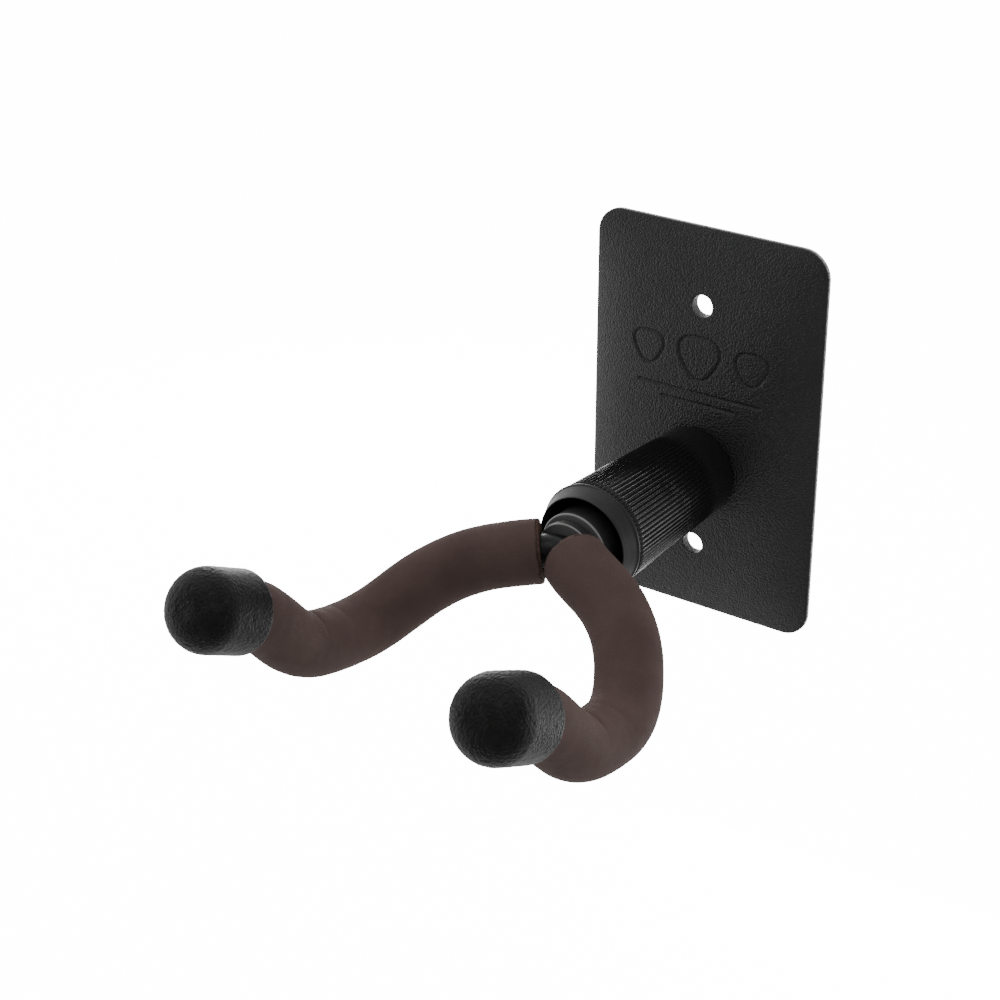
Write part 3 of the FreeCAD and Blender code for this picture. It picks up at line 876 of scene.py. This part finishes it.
def eased(line, passes):
    """The line with its bends blended into its straight runs. Its ends stay where they are."""
    for _ in range(passes):
        middle = [(a + b * 2 + c) / 4 for a, b, c in zip(line, line[1:], line[2:])]
        line = [line[0]] + middle + [line[-1]]
    return line


def frames_along(line, up):
    """(point, side direction, up direction, tangent) at each point, turning as little as possible."""
    frames = []
    for i, spot in enumerate(line):
        ahead = line[min(i + 1, len(line) - 1)] - line[max(i - 1, 0)]
        tangent = ahead.normalized()
        up = (up - tangent * up.dot(tangent)).normalized()
        frames.append((spot, tangent.cross(up), up, tangent))
    return frames


def yoke_rod():
    """The bent bar, from inside one cap, past the stem's head, to inside the other."""
    bends = [radius * MM for radius in ARM_BENDS]
    right = [corner_at(corner, 1) for corner in ARM_CORNERS]
    left = [corner_at(corner, -1) for corner in ARM_CORNERS]
    corners = [arm_tip(-1, ROD_PAST_TIP)] + left[::-1] + [corner_at(ARM_MIDDLE, 1)] + right
    corners.append(arm_tip(1, ROD_PAST_TIP))
    line = bent_line(corners, bends[::-1] + [MIDDLE_BEND * MM] + bends)
    segments = 48
    rings = []
    for spot, aside, up, _ in frames_along(line, Vector((0, 0, 1))):
        ring = []
        for k in range(segments):
            angle = 2 * math.pi * k / segments
            ring.append(spot + (aside * math.cos(angle) + up * math.sin(angle)) * ROD_R)
        rings.append(ring)
    points, faces = join_rings(rings)
    count = len(points)
    faces += [tuple(range(segments)), tuple(range(count - segments, count))]
    return piece("rod_bar", points, faces, "black_steel", YOKE, ["yoke_rod"])


def foam_radius(spot, share, inward, length, seed):
    """The tube's radius: nearly round, a little uneven, and creased inside the sharp upturn."""
    radius = FOAM_R + FOAM_UNEVEN * noise.fractal(spot * FOAM_UNEVEN_SCALE + seed, 1.0, 2.0, 3)
    for place, depth in CREASES:
        wander = CREASE_WANDER * noise.noise(spot * CREASE_WANDER_SCALE + seed)
        away = abs((share - place) * length + wander) / CREASE_WIDTH
        radius -= depth * MM * math.exp(-away) * max(inward, 0) ** 3
    return radius


def arm_sleeve(name, side):
    """The foam tube on one arm, with its cut end by the stem and its creased upturn."""
    bends = [radius * MM for radius in ARM_BENDS]
    corners = [corner_at(corner, side) for corner in ARM_CORNERS]
    middle = corner_at(ARM_MIDDLE, side)
    start = middle + (corners[0] - middle).normalized() * FOAM_START
    line = bent_line([start] + corners + [arm_tip(side, FOAM_PAST_TIP)], bends, FOAM_ROW_GAP)
    line = eased(line, FOAM_EASING)
    frames = frames_along(line, Vector((0, 0, 1)))
    segments = 120
    seed = Vector((3.1 * side, 7.7, 1.9))
    length = sum((b - a).length for a, b in zip(line, line[1:]))
    before, dip, after = [corner_at(corner, side) for corner in ARM_CORNERS[2:5]]
    curl = ((before - dip).normalized() + (after - dip).normalized()).normalized()
    rings = []
    cut = []
    run = 0.0
    for i, (spot, aside, up, _) in enumerate(frames):
        if i:
            run += (spot - line[i - 1]).length
        ring = []
        for k in range(segments):
            angle = 2 * math.pi * k / segments
            out = aside * math.cos(angle) + up * math.sin(angle)
            radius = foam_radius(spot + out * FOAM_R, run / length, out.dot(curl), length, seed)
            ring.append(spot + out * radius)
        rings.append(ring)
        cut += [0.0] * segments
    lip, lip_cut = cut_end(frames[0], rings[0], seed)
    rings = lip + rings[1:]
    cut = lip_cut + cut[segments:]
    end_ring = [frames[-1][0].lerp(p, 0.55) for p in rings[-1]]
    rings.append(end_ring)
    cut += [0.0] * segments
    points, faces = join_rings(rings)
    count = len(points)
    faces.append(tuple(range(count - segments, count)))
    trim = FOAM_GAP / 2
    for p in points:
        if side * p.x < trim:
            p.x = side * trim
    replaced = [name.replace("foam", "arm_sleeve")]
    sleeve = piece(name, points, faces, "arm_foam", YOKE, replaced, {"cut": cut})
    return sleeve


def cut_end(start_frame, first_ring, seed):
    """Rings over the tube's cut end, from the rod outwards, with a rough face and a rolled rim."""
    spot, _, _, tangent = start_frame
    rings = []
    cut = []
    for reach, back in CUT_PROFILE:
        ring = []
        for p in first_ring:
            q = spot.lerp(p, reach)
            rough = CUT_FINE * noise.noise(q * CUT_FINE_SCALE + seed)
            rough += CUT_COARSE * noise.noise(q * CUT_COARSE_SCALE + seed)
            ring.append(q + tangent * (back * MM + (rough if reach < 0.99 else rough * 0.4)))
            cut.append(1.0 if reach < 0.95 else (0.6 if reach < 0.99 else 0.1))
        rings.append(ring)
    return rings, cut


def end_cap(name, side):
    """The rubber cap on one arm: a pebbled dome, and a mouth that grips the foam tube."""
    tip = arm_tip(side, 0)
    tangent = (tip - arm_tip(side, -MM)).normalized()
    mouth = tip - tangent * CAP_OVERLAP
    outline = [(CAP_GRIP, FOAM_R - 0.15 * MM), (0.35 * MM, FOAM_R - 0.1 * MM),
               (0.0, FOAM_R + 0.25 * MM), (0.0, CAP_R - 0.45 * MM),
               (0.12 * MM, CAP_R - 0.12 * MM), (CAP_LIP, CAP_R)]
    steps = 48
    dome_start = CAP_LENGTH - CAP_END_ROUND
    for k in range(1, steps + 1):
        outline.append((CAP_LIP + (dome_start - CAP_LIP) * k / steps, CAP_R))
    flat_r = CAP_R - CAP_END_ROUND
    for k in range(1, steps + 1):
        angle = math.pi / 2 * k / steps
        along = dome_start + CAP_END_ROUND * math.sin(angle)
        outline.append((along, flat_r + CAP_END_ROUND * math.cos(angle)))
    for share in (0.75, 0.5, 0.25, 0.03):
        outline.append((CAP_LENGTH, flat_r * share))
    aside = tangent.cross(Vector((0, 0, 1))).normalized()
    up = aside.cross(tangent)
    segments = 224
    seed = Vector((11.3 * side, 2.2, 5.1))
    rings = []
    for row, (along, radius) in enumerate(outline):
        ring = []
        for k in range(segments):
            angle = 2 * math.pi * k / segments
            out = aside * math.cos(angle) + up * math.sin(angle)
            p = mouth + tangent * along + out * radius
            if row > 2:
                sideways = min(radius / (3 * MM), 1)
                p -= pebble(p, seed) * (out * sideways + tangent * (along > dome_start))
            ring.append(p)
        rings.append(ring)
    points, faces = join_rings(rings)
    count = len(points)
    faces.append(tuple(range(count - segments, count)))
    return piece(name, points, faces, "cap_rubber", YOKE, [name.replace("rubber_cap", "end_cap")])


def pebble(spot, seed):
    """Depth of the pebbled skin at a point."""
    fine = noise.noise(spot * PEBBLE_FINE_SCALE + seed)
    coarse = noise.noise(spot * PEBBLE_COARSE_SCALE + seed)
    return PEBBLE_MEAN + PEBBLE_FINE * fine + PEBBLE_COARSE * coarse


def build_pieces():
    """Every piece that stands for a CAD node."""
    wall_plate()
    ribbed_sleeve()
    front_bezel()
    hub_post()
    swivel_stem()
    yoke_rod()
    for name, side in (("left", -1), ("right", 1)):
        arm_sleeve("foam_" + name, side)
        end_cap("rubber_cap_" + name, side)


def finish_cad_nodes():
    """Gives the CAD nodes that stay visible their slot's material."""
    slots = {part["node"]: part["material_slot"] for part in frame["record"]["subparts"]}
    for name, node in frame["nodes"].items():
        if not node.hide_render:
            node.data.materials.clear()
            node.data.materials.append(MATERIALS[slots[name]])


# ---------------------------------------------------------------- camera, floor and light

def direction(azimuth, elevation):
    """A unit vector. Azimuth 0 is straight out of the wall, and 90 is the wall's +X side."""
    a, e = math.radians(azimuth), math.radians(elevation)
    return Vector((math.sin(a) * math.cos(e), -math.cos(a) * math.cos(e), math.sin(e)))


def camera():
    """The camera, placed by its direction from the hub and then moved aside and down."""
    back = direction(CAMERA_AZIMUTH, CAMERA_ELEVATION)
    right = Vector((0, 0, 1)).cross(back).normalized()
    up = back.cross(right)
    data = bpy.data.cameras.new("camera")
    data.lens = CAMERA_LENS
    view = bpy.data.objects.new("camera", data)
    bpy.context.scene.collection.objects.link(view)
    spot = at(0, 0) + back * CAMERA_DISTANCE + right * CAMERA_ASIDE + up * CAMERA_BELOW
    turn = Matrix((right, up, back)).transposed().to_4x4()
    view.matrix_world = Matrix.Translation(spot) @ turn
    bpy.context.scene.camera = view


def floor():
    """A plain white floor far below. It lights itself, so that its glow doesn't reach the hanger."""
    low = -FLOOR_DROP
    corners = [(-1, -1), (1, -1), (1, 1), (-1, 1)]
    mesh = bpy.data.meshes.new("floor")
    mesh.from_pydata([(x * FLOOR_SIZE, y * FLOOR_SIZE, low) for x, y in corners], [], [(0, 1, 2, 3)])
    ground = bpy.data.objects.new("floor", mesh)
    ground.visible_diffuse = False
    ground.visible_glossy = False
    ground.visible_shadow = False
    bpy.context.scene.collection.objects.link(ground)
    paint = Finish("pale_floor", (0.9, 0.9, 0.9), 0.9, specular=0.0)
    paint.set("Emission Color", (1, 1, 1, 1))
    paint.set("Emission Strength", FLOOR_GLOW)
    mesh.materials.append(paint.material)


def softbox(name, spot, target, width, height, radiance):
    """A rectangular light of that radiance, which the camera doesn't see."""
    data = bpy.data.lights.new(name, "AREA")
    data.shape = "RECTANGLE"
    data.size, data.size_y = width, height
    data.energy = radiance * width * height * math.pi
    light = bpy.data.objects.new(name, data)
    light.visible_camera = False
    bpy.context.scene.collection.objects.link(light)
    turn = (target - spot).to_track_quat("-Z", "Y").to_matrix().to_4x4()
    light.matrix_world = Matrix.Translation(spot) @ turn


def studio():
    """A surround that is brightest behind the wall, and the softboxes."""
    for name, azimuth, elevation, distance, width, height, radiance in SOFTBOXES:
        spot = at(0, SOFTBOX_ORIGIN) + direction(azimuth, elevation) * distance
        softbox(name, spot, at(0, SOFTBOX_AIM), width, height, radiance)
    world = bpy.data.worlds.new("studio")
    world.use_nodes = True
    nodes, links = world.node_tree.nodes, world.node_tree.links
    view = nodes.new("ShaderNodeTexCoord").outputs["Generated"]
    behind = nodes.new("ShaderNodeVectorMath")
    behind.operation = "DOT_PRODUCT"
    behind.inputs[1].default_value = direction(*BACKDROP_SIDE)
    links.new(view, behind.inputs[0])
    brightness = nodes.new("ShaderNodeMapRange")
    brightness.interpolation_type = "SMOOTHSTEP"
    for socket, value in zip(brightness.inputs[1:5], SURROUND):
        socket.default_value = value
    links.new(behind.outputs["Value"], brightness.inputs["Value"])
    background = nodes["Background"]
    background.inputs["Color"].default_value = (1, 1, 1, 1)
    links.new(brightness.outputs["Result"], background.inputs["Strength"])
    bpy.context.scene.world = world


camera()
floor()
studio()
build_pieces()
finish_cad_nodes()
